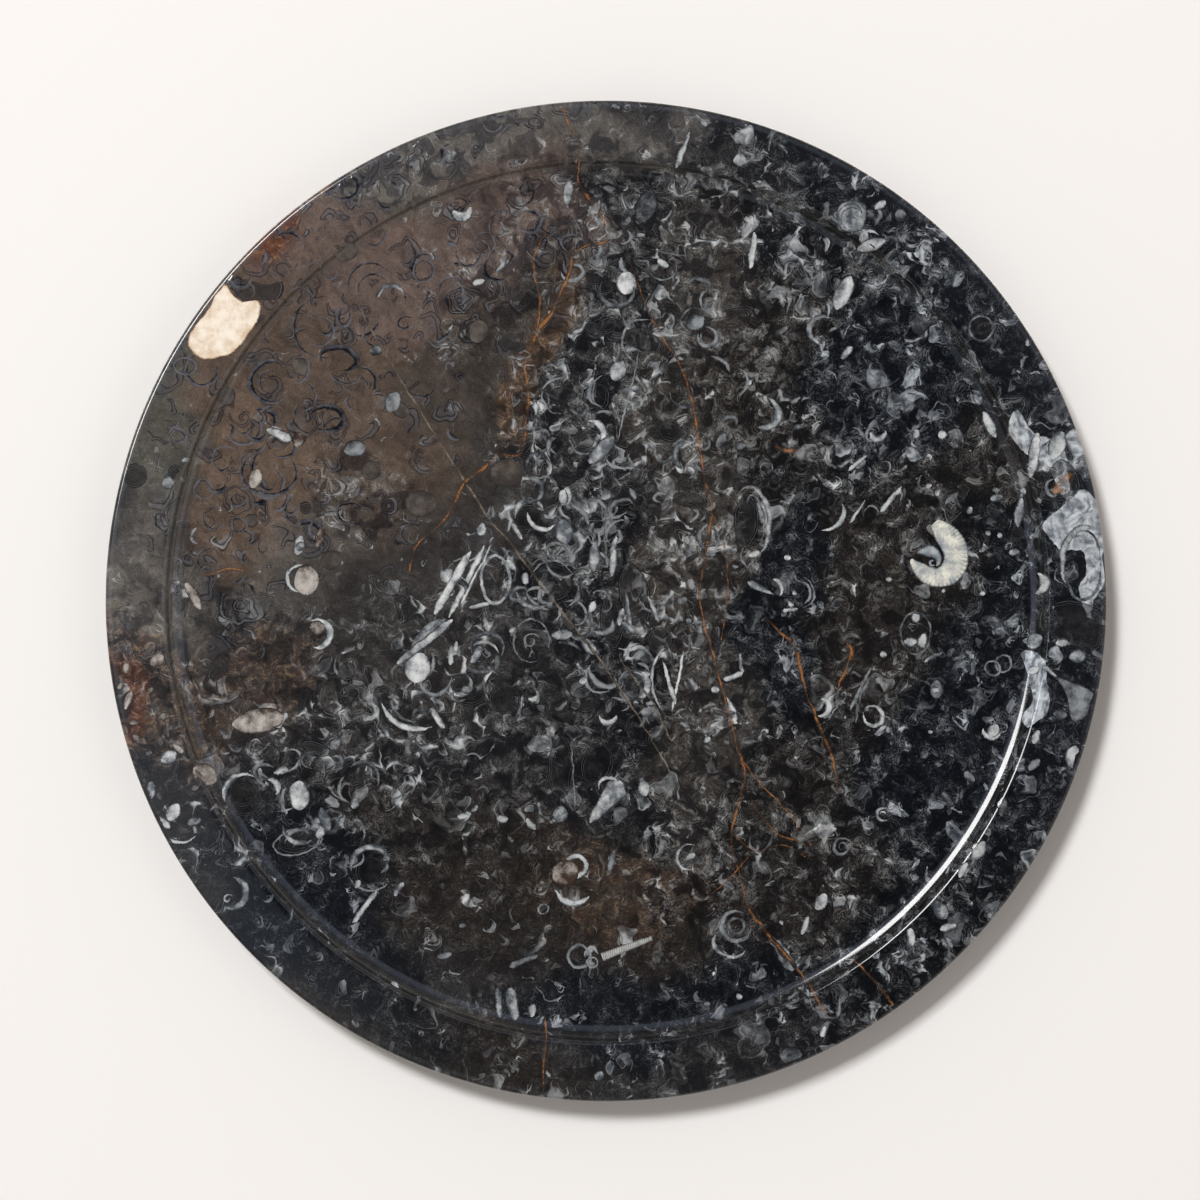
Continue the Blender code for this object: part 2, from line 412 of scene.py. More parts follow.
            ((602, 958.5, 9.5), (620, 951.5, 8.5), (636, 945.5, 7.5), (652, 939.5, 5)),
        ),
    },
    "cream_calcite": {
        "patches": (
            (
                (225, 284), (234, 295), (243, 302), (258, 301), (261, 311), (257, 322), (249, 334),
                (240, 346), (228, 355), (209, 360), (196, 356), (189, 348), (188, 339), (194, 327),
                (203, 316), (210, 307), (214, 298), (219, 290),
            ),
        ),
    },
}

# Many more arcs, scattered by rule: a zone's place, half widths and turn, how many arcs lie in it,
# and their least and greatest radii and widths
SCATTERED = {
    "dark_outlines": (
        ((330, 350), (150, 180), -25, 46, (7, 19), (3.5, 8.0)),
        ((230, 480), (60, 110), 10, 24, (5, 14), (3.0, 6.5)),
        ((430, 155), (130, 34), 22, 18, (6, 14), (3.0, 6.0)),
        ((530, 250), (60, 50), 0, 12, (6, 14), (3.0, 6.0)),
    ),
    "grey_calcite": (
        ((640, 480), (110, 240), 5, 60, (6, 18), (3.0, 7.0)),
        ((480, 640), (200, 70), 45, 36, (6, 18), (3.0, 7.0)),
        ((870, 400), (130, 140), -30, 30, (4, 11), (2.4, 5.0)),
        ((290, 820), (110, 60), -40, 18, (6, 15), (3.0, 6.0)),
        ((1060, 480), (34, 110), 0, 16, (5, 12), (2.4, 6.0)),
    ),
}
SWEEPS = (70.0, 100.0, 130.0, 170.0, 220.0, 300.0)

# Veins: points of their middle lines in the photo, each with a width
IRON_VEINS = (
    (
        (560, 103, 2.2), (570, 127, 3), (579, 142, 2.2), (580, 158, 2.2), (578, 181, 3), (593, 202, 5.2),
        (608, 226, 3.8), (607, 239, 4.5), (588, 244, 3), (573, 252, 3.8), (570, 270, 3.8), (557, 299, 3.8),
        (552, 312, 4.5), (536, 333, 6), (525, 365, 4.5), (528, 391, 4.5), (525, 427, 4.5), (520, 453, 4.5),
        (499, 455, 5.2), (484, 467, 6), (465, 482, 4.5), (456, 499, 6), (440, 523, 4.5), (417, 544, 3),
        (408, 573, 2.2),
    ),
    (
        (629, 257, 1.5), (651, 315, 2.2), (682, 367, 3), (694, 409, 4.5), (699, 440, 3.8), (706, 482, 4.5),
        (712, 510, 4.5), (705, 560, 3), (700, 600, 2.2), (715, 660, 3), (737, 744, 3.8), (745, 778, 3.8),
        (732, 835, 4.5), (740, 875, 3), (750, 911, 3.8), (766, 932, 4.5), (809, 985, 3.8), (827, 1019, 2.2),
    ),
    (
        (762, 612, 2.2), (780, 632, 3.8), (796, 648, 5.2), (806, 690, 3), (819, 722, 3.8), (835, 766, 4.5),
        (838, 792, 2.2),
    ),
    ((753, 804, 2.2), (766, 822, 3), (779, 835, 3.8), (803, 843, 2.2)),
    ((853, 960, 2.2), (866, 972, 3.8), (880, 988, 3.8), (898, 1011, 3)),
    ((544, 1013, 2.2), (546, 1040, 3), (543, 1070, 3), (544, 1097, 2.2)),
    ((847, 640, 2.2), (852, 655, 6.8), (846, 672, 5.2), (838, 690, 2.2)),
    ((195, 575, 2.2), (210, 574, 4.5), (228, 568, 3.8), (247, 572, 2.2)),
    ((776, 446, 2.2), (790, 450, 6), (803, 449, 2.2)),
    ((1052, 493, 6), (1062, 485, 19), (1070, 472, 10)),
    ((742, 760, 1.5), (762, 786, 2.2), (788, 812, 1.5), (812, 846, 2.2)),
    ((733, 835, 1.5), (757, 852, 2.2), (784, 846, 1.5), (806, 858, 1.5)),
    ((706, 900, 1.5), (730, 880, 2.2), (748, 858, 1.5)),
    ((536, 333, 2.2), (540, 300, 3.8), (533, 262, 3), (545, 232, 2.2)),
    ((708, 505, 1.5), (724, 540, 2.2), (728, 590, 2.2), (722, 640, 1.5)),
)
TAN_CRACKS = (
    (
        (354, 299, 2), (380, 345, 2.6), (404, 385, 3), (440, 443, 3), (477, 500, 3.4), (490, 520, 2.6),
        (515, 550, 3), (560, 610, 3.4), (600, 660, 3), (640, 720, 2.6), (680, 790, 2),
    ),
    ((410, 170, 2), (412, 200, 2.4), (411, 230, 2)),
    ((620, 660, 2), (650, 700, 2.6), (672, 742, 2)),
)

# Their lines, their stain where it is deep and where it is pale, and how far it is broken up
VEINS = {
    "iron_veins": (IRON_VEINS, (70, 50, 36), (148, 100, 60), 0.62),
    "tan_cracks": (TAN_CRACKS, (74, 67, 60), (122, 110, 96), 0.4),
}

# Tones of the fillings: in the deep and the pale parts, and in the dark seam just inside the outline
FILLINGS = {
    "dark_grains": ((20, 20, 23), (46, 45, 46), (12, 13, 16)),
    "mud_grains": ((58, 54, 52), (94, 87, 82), (40, 38, 38)),
    "dark_outlines": ((24, 25, 30), (96, 95, 100), (26, 28, 33)),
    "grey_calcite": ((46, 48, 52), (136, 140, 143), (24, 25, 29)),
    "white_calcite": ((66, 71, 77), (188, 191, 192), (26, 28, 33)),
    "bright_calcite": ((80, 85, 91), (204, 206, 206), (24, 26, 31)),
    "brown_calcite": ((62, 50, 44), (178, 172, 166), (36, 32, 31)),
    "cream_calcite": ((204, 178, 150), (238, 227, 212), (150, 112, 76)),
    "ammonite_shell": ((138, 144, 150), (224, 221, 206), (62, 64, 66)),
    "ammonite_core": ((92, 100, 108), (170, 176, 180), (50, 52, 56)),
    "ribbed_shell": ((120, 122, 124), (176, 176, 172), (60, 60, 62)),
}

# Fine ribs across a shell: their spacing along it in mm, their lean, and how far they reach in from the
# outer side
RIBS = {
    "ammonite_shell": (1.05, 0.45, 0.9),
    "ammonite_core": (0.9, 0.45, 0.8),
    "ribbed_shell": (0.85, 0.6, 2.0),
}
RIBS_PER_CHAMBER = 4.7

# Fillings that are paler on one side by a set amount, and those with onion skins
SIDE_LIFT = {"dark_outlines": 0.5}
ONION_SKINNED = ("dark_grains",)

# Sizes of the rock's patterns, in mm. What stirs a pattern has a lump and a reach
SWIRL = (8.0, 6.0)
RIPPLE = (2.2, 0.8)
CRUMBLE = (1.0, 0.4)
SHELL_STIR = (1.6, 0.4)
MUD_LUMP = 13.0
CLOUD_LUMP = 3.2
GRIT_LUMP = 0.6
PATCH_LUMP = 9.0
GLOW_LUMP = 17.0
FILLING_LUMP = 4.0
STAIN_LUMP = 6.0
PATCH_SHIFT = (150.0, 40.0, 0.0)
GLOW_SHIFT = (60.0, 210.0, 0.0)

# Crumbs of shell: their size in mm, and the least pick that shows
CRUMBS = ((1.8, 0.7), (0.8, 0.6))

# Shells from small to large: a shift of the pattern, their size in mm, the wall as a share of the size, and
# the shares of them that show in the hash and, as curls, in the brown mud
SHELLS = (
    (0.0, 3.0, 0.09, 0.4, 0.0),
    (31.0, 5.2, 0.05, 0.6, 0.15),
    (67.0, 9.5, 0.035, 0.7, 0.3),
    (113.0, 15.0, 0.028, 0.5, 0.4),
)
SEAMED_SHELL = 6.0

# Rounded grains that the cement fills the gaps of, in mm: in clusters of hash, and in the two sizes of cement
CLUSTER_GRAIN = 3.4
FINE_GRAIN = 5.2
COARSE_GRAIN = 8.5

# How the fossils are set
PROUD = 0.02 * MM
SUNK = 0.35 * MM
PATH_STEP_PX = 2.0
TIP_PX = 0.15
INLAY_REACH = PLATE_RADIUS - 1.6 * MM
INLAY_MERGE = 0.0001 * MM
WAVER = 1.8 * MM
RIBBED_WAVER = 0.3 * MM
WAVER_LUMP = 4.0 * MM

# An inlaid line is a ribbon of so many strands. A patch is rings round its middle, as shares of its outline
RIBBON_STRANDS = 5
PATCH_RINGS = (1.0, 0.85, 0.6, 0.3)

# The studio. Each light has an azimuth, an elevation, a distance, a width and depth, a power and a colour
FLOOR_RADIUS = 9.0
FLOOR_DROP = 0.02 * MM
FLOOR_SIDES = 96
FLOOR_COLOUR = (0.815, 0.792, 0.774, 1.0)
FLOOR_ROUGHNESS = 0.9
FLOOR_SHINE = 0.1
CAMERA_OFFSET = (-2.1 * MM, 0.35 * MM)
LENS_MM = 100.0
SENSOR_MM = 36.0
VIEW_DEPTH = 100.0
LIGHTS = {
    "key": (127.0, 56.0, 6.0, (1.15, 1.15), 318.0, (0.98, 0.99, 1.0)),
    "gleam": (145.0, 59.0, 6.0, (2.2, 2.2), 318.0, (1.0, 0.99, 0.98)),
    "window": (215.0, 68.0, 6.0, (3.6, 2.8), 14.0, (0.75, 0.86, 1.0)),
    "screen": (-10.0, 48.0, 6.0, (3.6, 3.0), 20.0, (0.96, 0.92, 1.0)),
}
ROOM_LOW = (1.05, 0.97, 0.88)
ROOM_SIDES = (0.47, 0.43, 0.385)
ROOM_TOP = (0.05, 0.05, 0.05)
VEIL = (0.62, 0.70, 0.88)


def shown(colour):
    """The linear colour of a surface that shows as this colour from 0 to 255."""
    return tuple((value / 255.0) ** 2.2 for value in colour)


def tint(name):
    return shown(TINTS[name])


def from_photo(x, y):
    """A place on the plate from its place in the photo."""
    return (x - PLATE_CENTRE_PX[0]) * PIXEL, (PLATE_CENTRE_PX[1] - y) * PIXEL


class Wiring:
    """A short way to write a node tree: every call adds a node and gives back its output."""

    def __init__(self, tree):
        self.tree = tree

    def node(self, kind, inputs=(), node_tree=None, **settings):
        made = self.tree.nodes.new(kind)
        if node_tree:
            made.node_tree = node_tree
        for name, value in settings.items():
            setattr(made, name, value)
        for key, value in dict(inputs).items():
            self.feed(made.inputs[key], value)
        return made

    def feed(self, socket, value):
        if isinstance(value, bpy.types.NodeSocket):
            self.tree.links.new(value, socket)
        elif socket.type == "RGBA" and len(value) == 3:
            socket.default_value = (*value, 1.0)
        else:
            socket.default_value = value

    def math(self, operation, *values):
        return self.node("ShaderNodeMath", enumerate(values), operation=operation).outputs[0]

    def times(self, first, *others):
        for other in others:
            first = self.math("MULTIPLY", first, other)
        return first

    def plus(self, first, second):
        return self.math("ADD", first, second)

    def minus(self, first, second):
        return self.math("SUBTRACT", first, second)

    def over(self, first, second):
        return self.math("DIVIDE", first, second)

    def size_of(self, value):
        return self.math("ABSOLUTE", value)

    def more(self, first, second):
        return self.math("MAXIMUM", first, second)

    def vector(self, operation, first, second=None):
        made = self.node("ShaderNodeVectorMath", {0: first}, operation=operation)
        if second is not None:
            self.feed(made.inputs["Scale" if operation == "SCALE" else 1], second)
        return made.outputs["Value" if operation == "LENGTH" else "Vector"]

    def parts(self, vector):
        return self.node("ShaderNodeSeparateXYZ", {0: vector}).outputs

    def joined(self, **axes):
        inputs = {name.upper(): value for name, value in axes.items()}
        return self.node("ShaderNodeCombineXYZ", inputs).outputs[0]

    def channels(self, colour):
        return self.node("ShaderNodeSeparateColor", {0: colour}).outputs

    def step(self, value, low, high):
        """A smooth rise from 0 to 1, as value goes from low to high."""
        inputs = {"Value": value, "From Min": low, "From Max": high}
        return self.node("ShaderNodeMapRange", inputs, interpolation_type="SMOOTHSTEP").outputs[0]

    def between(self, value, low, high):
        """A straight walk from low to high, as value goes from 0 to 1."""
        return self.node("ShaderNodeMapRange", {"Value": value, "To Min": low, "To Max": high}).outputs[0]

    def noise(self, place, lump, detail=2.0, roughness=0.5, output=0):
        """Cloudy flat noise with lumps of about the given size."""
        inputs = {"Vector": place, "Scale": 1.0 / lump, "Detail": detail, "Roughness": roughness}
        return self.node("ShaderNodeTexNoise", inputs, noise_dimensions="2D").outputs[output]

    def stirred(self, start, place, lump, reach):
        """A place moved from start by the noise at another place."""
        return self.moved_by(start, self.noise(place, lump, detail=1.0, output=1), reach)

    def moved_by(self, start, cloud, reach):
        """A place moved from start by a cloud of colours, by up to half the reach."""
        way = self.vector("SUBTRACT", cloud, (0.5, 0.5, 0.5))
        return self.vector("ADD", start, self.vector("SCALE", way, reach))

    def cells(self, place, scale, randomness=1.0):
        """A patchwork of cells round scattered points."""
        inputs = {"Vector": place, "Scale": scale, "Randomness": randomness}
        return self.node("ShaderNodeTexVoronoi", inputs, voronoi_dimensions="2D").outputs

    def attribute(self, name):
        return self.node("ShaderNodeAttribute", attribute_name=name).outputs["Fac"]

    def place_in_mm(self):
        return self.vector("SCALE", self.node("ShaderNodeTexCoord").outputs["Object"], 1.0 / MM)

    def blend(self, amount, first, second):
        """A colour that goes from first to second as amount goes from 0 to 1."""
        made = self.node("ShaderNodeMix", data_type="RGBA")
        for index, value in ((0, amount), (6, first), (7, second)):
            self.feed(made.inputs[index], value)
        return made.outputs[2]


def new_group(name, kind, inputs, outputs):
    """A node group with named sockets, its wiring, and its inputs and output node."""
    tree = bpy.data.node_groups.new(name, kind)
    for socket, socket_kind in inputs.items():
        tree.interface.new_socket(socket, in_out="INPUT", socket_type=socket_kind)
    for socket, socket_kind in outputs.items():
        tree.interface.new_socket(socket, in_out="OUTPUT", socket_type=socket_kind)
    wiring = Wiring(tree)
    return tree, wiring, wiring.node("NodeGroupInput").outputs, wiring.node("NodeGroupOutput").inputs


# The limestone

def shell_sections():
    """Shells that the surface cuts through, one in each lump of rock: arcs, nested walls and coils.

    Wall is the shell itself, Line a thin dark seam along it, Fill what settled in one side of the shell.
    Pick and Tone are random for each shell.
    """
    number = "NodeSocketFloat"
    tree, w, given, result = new_group(
        "shell sections", "ShaderNodeTree",
        {"Place": "NodeSocketVector", "Size": number, "Wall": number, "Hair": number},
        {"Wall": number, "Line": number, "Fill": number, "Pick": number, "Tone": number},
    )
    scale = w.over(1.0, given["Size"])
    cell = w.cells(given["Place"], scale, randomness=0.9)
    picks = w.channels(cell["Color"])

    # The place in the lump, in sizes of it, turned and slimmed
    local = w.vector("SCALE", w.vector("SUBTRACT", given["Place"], cell["Position"]), scale)
    local = w.vector("MULTIPLY", local, (1.0, 1.0, 0.0))
    spin = w.times(w.plus(picks[0], picks[2]), 2.0 * math.tau)
    inputs = {"Vector": local, "Angle": spin}
    turned = w.node("ShaderNodeVectorRotate", inputs, rotation_type="Z_AXIS").outputs[0]
    turned = w.vector("MULTIPLY", turned, w.joined(x=w.between(picks[1], 1.0, 0.62), y=1.0, z=1.0))
    radius = w.vector("LENGTH", turned)
    sides = w.parts(turned)
    along = w.over(sides[0], radius)
    outer = w.between(picks[1], 0.24, 0.42)

    # Walls one pitch apart, from the outer one inwards. They wind in as a coil where the pick is high
    pitch = w.between(picks[2], 0.2, 0.9)
    coiled = w.math("GREATER_THAN", picks[0], 0.72)
    wind = w.times(w.math("ARCTAN2", sides[1], sides[0]), w.over(coiled, math.tau))
    whorl = w.plus(w.over(w.minus(radius, outer), pitch), wind)
    off = w.times(w.size_of(w.minus(whorl, w.math("ROUND", whorl))), pitch)
    thick = w.times(given["Wall"], w.between(w.step(along, -0.5, 1.0), 0.3, 1.5))

    # A shell is open on one side, unless it is a coil
    opening = w.step(w.minus(along, w.between(picks[2], -1.4, 0.3)), -0.12, 0.12)
    kept = w.times(w.step(whorl, 0.5, 0.42), w.more(opening, coiled))
    wall = w.step(w.minus(off, thick), 0.02, -0.02)
    hair = w.over(given["Hair"], given["Size"])
    seam = w.step(w.size_of(w.minus(off, w.plus(thick, hair))), w.times(hair, 1.6), 0.0)
    body = w.step(w.minus(radius, outer), 0.0, -0.05)
    settled = w.step(w.plus(along, w.times(picks[0], 0.9)), 0.35, 0.75)
    chance = w.node("ShaderNodeTexWhiteNoise", {"Vector": cell["Position"]}, noise_dimensions="2D").outputs[0]
    w.feed(result["Wall"], w.times(wall, kept))
    w.feed(result["Line"], w.times(seam, kept))
    w.feed(result["Fill"], w.times(body, settled))
    w.feed(result["Pick"], chance)
    w.feed(result["Tone"], picks[1])
    return tree


def rock_patterns(w, given):
    """The stirred places and clouds that all the parts of the rock share.

    The pattern is flat, and spreads with height, so that it runs on down the edge without streaks.
    """
    place = w.place_in_mm()
    place = w.vector("SCALE", place, w.plus(1.0, w.times(w.parts(place)[2], MM / PLATE_RADIUS)))
    swirled = w.stirred(place, place, *SWIRL)
    rippled = w.stirred(swirled, place, *RIPPLE)
    mottle = w.noise(swirled, MUD_LUMP, detail=3.0, roughness=0.6)
    grit = w.noise(rippled, GRIT_LUMP, roughness=0.7)
    cloud = w.noise(rippled, CLOUD_LUMP, detail=3.0, roughness=0.55)
    patches = w.noise(w.vector("ADD", swirled, PATCH_SHIFT), PATCH_LUMP, detail=3.0, roughness=0.6)
    bare = w.times(w.step(patches, 0.54, 0.42), w.step(given["Hash"], 0.1, 0.5))

    # Calcite's own colour: bluish grey to white, cloudy
    calcite = w.blend(w.step(cloud, 0.22, 0.78), tint("deep calcite"), tint("pale calcite"))
    calcite = w.vector("SCALE", calcite, w.between(grit, 0.75, 1.25))

    # How thick the broken shell lies, in drifts that are thin on the bare patches, and how bright it is there
    drifts = w.minus(1.0, w.times(bare, 0.8))
    thick = w.times(given["Hash"], drifts, w.between(w.step(mottle, 0.38, 0.64), 0.35, 1.25))
    glow = w.noise(w.vector("ADD", swirled, GLOW_SHIFT), GLOW_LUMP)
    glow = w.between(w.step(glow, 0.38, 0.66), 0.35, 1.0)
    return SimpleNamespace(
        place=place, swirled=swirled, rippled=rippled, mottle=mottle, grit=grit, cloud=cloud, patches=patches,
        bare=bare, calcite=calcite, thick=thick, glow=glow,
    )


def muddy_ground(w, given, rock):
    """Lumps of mud with a fine grain, and darker, bluer patches where there is shell hash."""
    light = w.times(w.between(rock.mottle, 0.45, 1.55), w.between(rock.grit, 0.4, 1.6))
    light = w.times(light, w.between(rock.cloud, 0.55, 1.45))
    mud = w.vector("SCALE", given["Ground"], light)
    return w.blend(w.times(rock.bare, 0.8), mud, w.vector("MULTIPLY", mud, (0.30, 0.33, 0.40)))


def crumbs(w, place, size, least):
    """Crumbs of one size: a random pick for each, and how strongly each shows."""
    found = w.cells(place, 1.0 / size)
    pick = w.channels(found["Color"])[0]
    return pick, w.times(w.step(pick, least, 1.0), w.step(found["Distance"], 0.62, 0.2))


def shell_dust(w, rock, colour, crumbled):
    """Fine dust and crumbs of broken shell over the ground."""
    dust = w.step(w.plus(rock.grit, w.times(rock.thick, 0.12)), 0.52, 0.78)
    for _, strength in crumbled:
        dust = w.more(dust, strength)
    shell = w.vector("MULTIPLY", rock.calcite, (0.62, 0.60, 0.57))
    return w.blend(w.times(dust, rock.thick, 0.55), colour, shell)


def whole_shells(w, given, rock, colour, sections):
    """Pale shells in the hash. In brown mud only the dark outlines of the larger ones show, as curls."""
    soft = w.stirred(rock.swirled, rock.place, *SHELL_STIR)
    for shift, size, wall, share, curls in SHELLS:
        moved = w.vector("ADD", soft, (shift, shift * 1.7, shift * 0.6))
        inputs = {"Place": moved, "Size": size, "Wall": wall, "Hair": w.between(given["Curls"], 0.15, 0.26)}
        found = w.node("ShaderNodeGroup", inputs, node_tree=sections).outputs
        amount = w.times(rock.thick, share)
        whole = w.step(w.minus(amount, found["Pick"]), -0.1, 0.1)
        filled = w.step(w.minus(w.times(amount, 0.5), found["Pick"]), -0.05, 0.05)
        pale = w.more(w.times(found["Wall"], whole), w.times(found["Fill"], filled))
        tone = w.times(w.between(w.math("POWER", found["Tone"], 2.0), 0.2, 1.0), rock.glow)
        if size > SEAMED_SHELL:
            colour = w.blend(w.times(found["Line"], whole, 0.5), colour, tint("shell seam"))
        colour = w.blend(w.times(pale, tone), colour, rock.calcite)
        if curls:
            curled = w.step(w.minus(w.times(given["Curls"], curls), found["Pick"]), -0.04, 0.04)
            body = w.more(w.times(found["Fill"], 0.5), found["Wall"])
            colour = w.blend(w.times(body, curled, 0.55), colour, tint("curl"))
            colour = w.blend(w.times(found["Line"], curled, 0.8), colour, tint("curl seam"))
    return colour


def clear_cement(w, given, rock, colour):
    """Clear cement in the cusped gaps between rounded grains, coarse where it is thick, fine in the hash."""
    cluster = w.step(w.plus(rock.mottle, w.times(given["Hash"], 0.1)), 0.56, 0.68)
    cluster = w.times(cluster, rock.glow, w.step(rock.thick, 0.1, 0.6))
    cement = w.times(given["Cement"], w.between(w.step(rock.patches, 0.36, 0.6), 0.72, 1.05))
    sizes = ((CLUSTER_GRAIN, cluster), (FINE_GRAIN, w.times(cement, 0.9)), (COARSE_GRAIN, cement))
    for size, amount in sizes:
        grains = w.cells(rock.rippled, 1.0 / size, randomness=0.95)
        rounding = w.between(w.channels(grains["Color"])[0], 0.44, 0.7)
        gap = w.minus(grains["Distance"], w.times(w.between(amount, 2.0, 1.0), rounding))
        if size == COARSE_GRAIN:
            rings = w.step(w.math("SINE", w.times(gap, 60.0)), 0.5, 1.0)
            onion = w.times(w.step(gap, -0.34, -0.06), w.step(gap, 0.0, -0.02))
            colour = w.blend(w.times(rings, onion, 0.22), colour, rock.calcite)
            rim = w.step(w.size_of(w.plus(gap, 0.03)), 0.03, 0.0)
            colour = w.blend(w.times(rim, 0.5), colour, tint("grain rim"))
        clear = w.vector("SCALE", rock.calcite, w.between(w.step(gap, -0.04, 0.24), 0.35, 1.05))
        colour = w.blend(w.times(w.step(gap, -0.05, 0.07), 0.95), colour, clear)
    return colour


def rusted(w, given, rock, colour, pick):
    """A thin brown film, and specks of tan and dark red where the small crumbs' pick is high."""
    film = w.step(w.plus(rock.cloud, w.times(rock.grit, 0.6)), 0.72, 1.0)
    colour = w.blend(w.times(film, given["Rust"], 0.14), colour, tint("rust film"))
    speck = w.plus(pick, w.times(w.minus(rock.patches, 0.5), 1.6))
    speck = w.times(w.step(speck, 0.55, 1.05), given["Rust"])
    stain = w.blend(w.step(rock.cloud, 0.4, 0.6), tint("red rust"), tint("tan rust"))
    return w.blend(w.times(speck, 0.5), colour, stain)


def broad_calcite(w, given, rock, colour):
    """Broad calcite, with a broken edge."""
    mass = w.plus(given["Calcite"], w.times(w.minus(rock.mottle, 0.5), 0.9))
    return w.blend(w.step(mass, 0.48, 0.54), colour, rock.calcite)


def limestone(sections):
    """The rock's colour: muddy ground, shell hash, cement, curls, rust and calcite, each by its amount."""
    hue = "NodeSocketColor"
    amounts = {name: "NodeSocketFloat" for name in ("Hash", "Cement", "Curls", "Rust", "Calcite")}
    tree, w, given, result = new_group(
        "fossil limestone", "ShaderNodeTree", {"Ground": hue, **amounts}, {"Colour": hue},
    )
    rock = rock_patterns(w, given)
    stirred = w.stirred(rock.swirled, rock.place, *CRUMBLE)
    crumbled = [crumbs(w, stirred, size, least) for size, least in CRUMBS]
    colour = shell_dust(w, rock, muddy_ground(w, given, rock), crumbled)
    colour = whole_shells(w, given, rock, colour, sections)
    colour = clear_cement(w, given, rock, colour)
    colour = rusted(w, given, rock, colour, crumbled[-1][0])
    colour = broad_calcite(w, given, rock, colour)

    # Everything leans towards the hue of the ground it lies in
    lean = w.vector("DIVIDE", given["Ground"], w.node("ShaderNodeRGBToBW", {0: given["Ground"]}).outputs[0])
    lean = w.vector("ADD", w.vector("SCALE", lean, 0.12), (0.88, 0.88, 0.88))
    w.feed(result["Colour"], w.vector("MULTIPLY", colour, lean))
    return tree


def rock_colour(w, rock):
    """The rock's colour at a place, from what is painted on the piece."""
    ground = w.node("ShaderNodeAttribute", attribute_name="ground").outputs
    growth = w.node("ShaderNodeAttribute", attribute_name="growth").outputs
    amounts = w.channels(growth["Color"])
    inputs = {
        "Ground": ground["Color"], "Rust": ground["Alpha"], "Hash": amounts[0], "Cement": amounts[1],
        "Curls": amounts[2], "Calcite": growth["Alpha"],
    }
    return w.node("ShaderNodeGroup", inputs, node_tree=rock).outputs["Colour"]


def new_material(name):
    """A material and its shader."""
    material = bpy.data.materials.new(name)
    material.use_nodes = True
    return material, material.node_tree.nodes["Principled BSDF"]


def polished(name, colour_of, roughness=POLISH_ROUGHNESS):
    """A polished finish whose colour is wired by a function."""
    material, shader = new_material(name)
    w = Wiring(material.node_tree)
    w.feed(shader.inputs["Base Color"], colour_of(w))
    shader.inputs["Roughness"].default_value = roughness
    shader.inputs["IOR"].default_value = CALCITE_IOR
    return material


# What is painted on a piece

def wavered(x, y):
    """Plan places shifted by slow waves, so that no zone has a plain oval edge."""
    u, v = x / MM, y / MM
    shift_x = 5.0 * np.sin(v / 11.0 + 1.3) + 3.0 * np.sin(u / 7.0 - v / 9.0)
    shift_y = 5.0 * np.sin(u / 12.0 + 0.4) + 3.0 * np.sin(v / 6.5 + u / 10.0)
    shift_x += 1.5 * np.sin(v / 3.1 + u / 4.3)
    shift_y += 1.5 * np.sin(u / 2.9 - v / 4.7)
    return x + shift_x * MM, y + shift_y * MM


def zone_weight(x, y, centre, reach, turn):
    """1 in the middle of an oval zone, and a soft fall to 0 outside it."""
    cx, cy = from_photo(*centre)
    c, s = math.cos(math.radians(turn)), math.sin(math.radians(turn))
    along = ((x - cx) * c + (y - cy) * s) / (reach[0] * PIXEL)
    across = ((y - cy) * c - (x - cx) * s) / (reach[1] * PIXEL)
    far = np.clip((1.35 - np.hypot(along, across)) / 0.7, 0.0, 1.0)
    return far * far * (3.0 - 2.0 * far)


def paint(mesh):
    """Store on a mesh the ground colour and the amounts of growth, from each point's place in plan."""
    places = np.empty(len(mesh.vertices) * 3, dtype=np.float32)
    mesh.vertices.foreach_get("co", places)
    places = places.reshape(-1, 3)
    x, y = wavered(places[:, 0], places[:, 1])
    ground = np.tile(np.array(tint("dark grey")), (len(x), 1))
    for name, centre, reach, turn, strength in GROUND:
        weight = zone_weight(x, y, centre, reach, turn)[:, None] * strength
        ground = ground * (1.0 - weight) + np.array(tint(name)) * weight
    amounts = {}
    for kind, zones in GROWTH.items():
        value = np.zeros(len(x))
        for centre, reach, turn, amount in zones:
            weight = zone_weight(x, y, centre, reach, turn)
            value = value * (1.0 - weight) + amount * weight
        amounts[kind] = value
    growth = np.stack([amounts["hash"], amounts["cement"], amounts["curls"], amounts["calcite"]], axis=1)
    for name, values in (("ground", np.column_stack([ground, amounts["rust"]])), ("growth", growth)):
        layer = mesh.attributes.new(name, "FLOAT_COLOR", "POINT")
        layer.data.foreach_set("color", values.astype(np.float32).ravel())


# The turned slab

def arc(centre, radius, first, last):
    """Points of an arc about a centre, from one angle to the other, in degrees from +X."""
    turns = np.radians(np.linspace(first, last, ARC_STEPS + 1))
    return [(centre[0] + radius * math.cos(t), centre[1] + radius * math.sin(t)) for t in turns]


def level(inner, outer, height, rings):
    """Evenly spaced points of the section at one height."""
    return [(x, height) for x in np.linspace(inner, outer, rings + 1)]


def well_wall():
    """The section of the well's wall, from the rim's inner edge down to the floor."""
    radius = PLATE_RADIUS - LIP_INSET
    points = arc((radius, PLATE_THICKNESS - LIP_RADIUS), LIP_RADIUS, 90.0, 90.0 + WALL_SLOPE)
    slope = math.radians(WALL_SLOPE)
    x, z = points[-1]
    points.append((x - WALL_LENGTH * math.cos(slope), z - WALL_LENGTH * math.sin(slope)))
    for foot_radius, steep, shallow in FOOT_ARCS:
        x, z = points[-1]
        turn = math.radians(steep)
        centre = (x - foot_radius * math.sin(turn), z + foot_radius * math.cos(turn))
        points += arc(centre, foot_radius, steep - 90.0, shallow - 90.0)[1:]
    return points


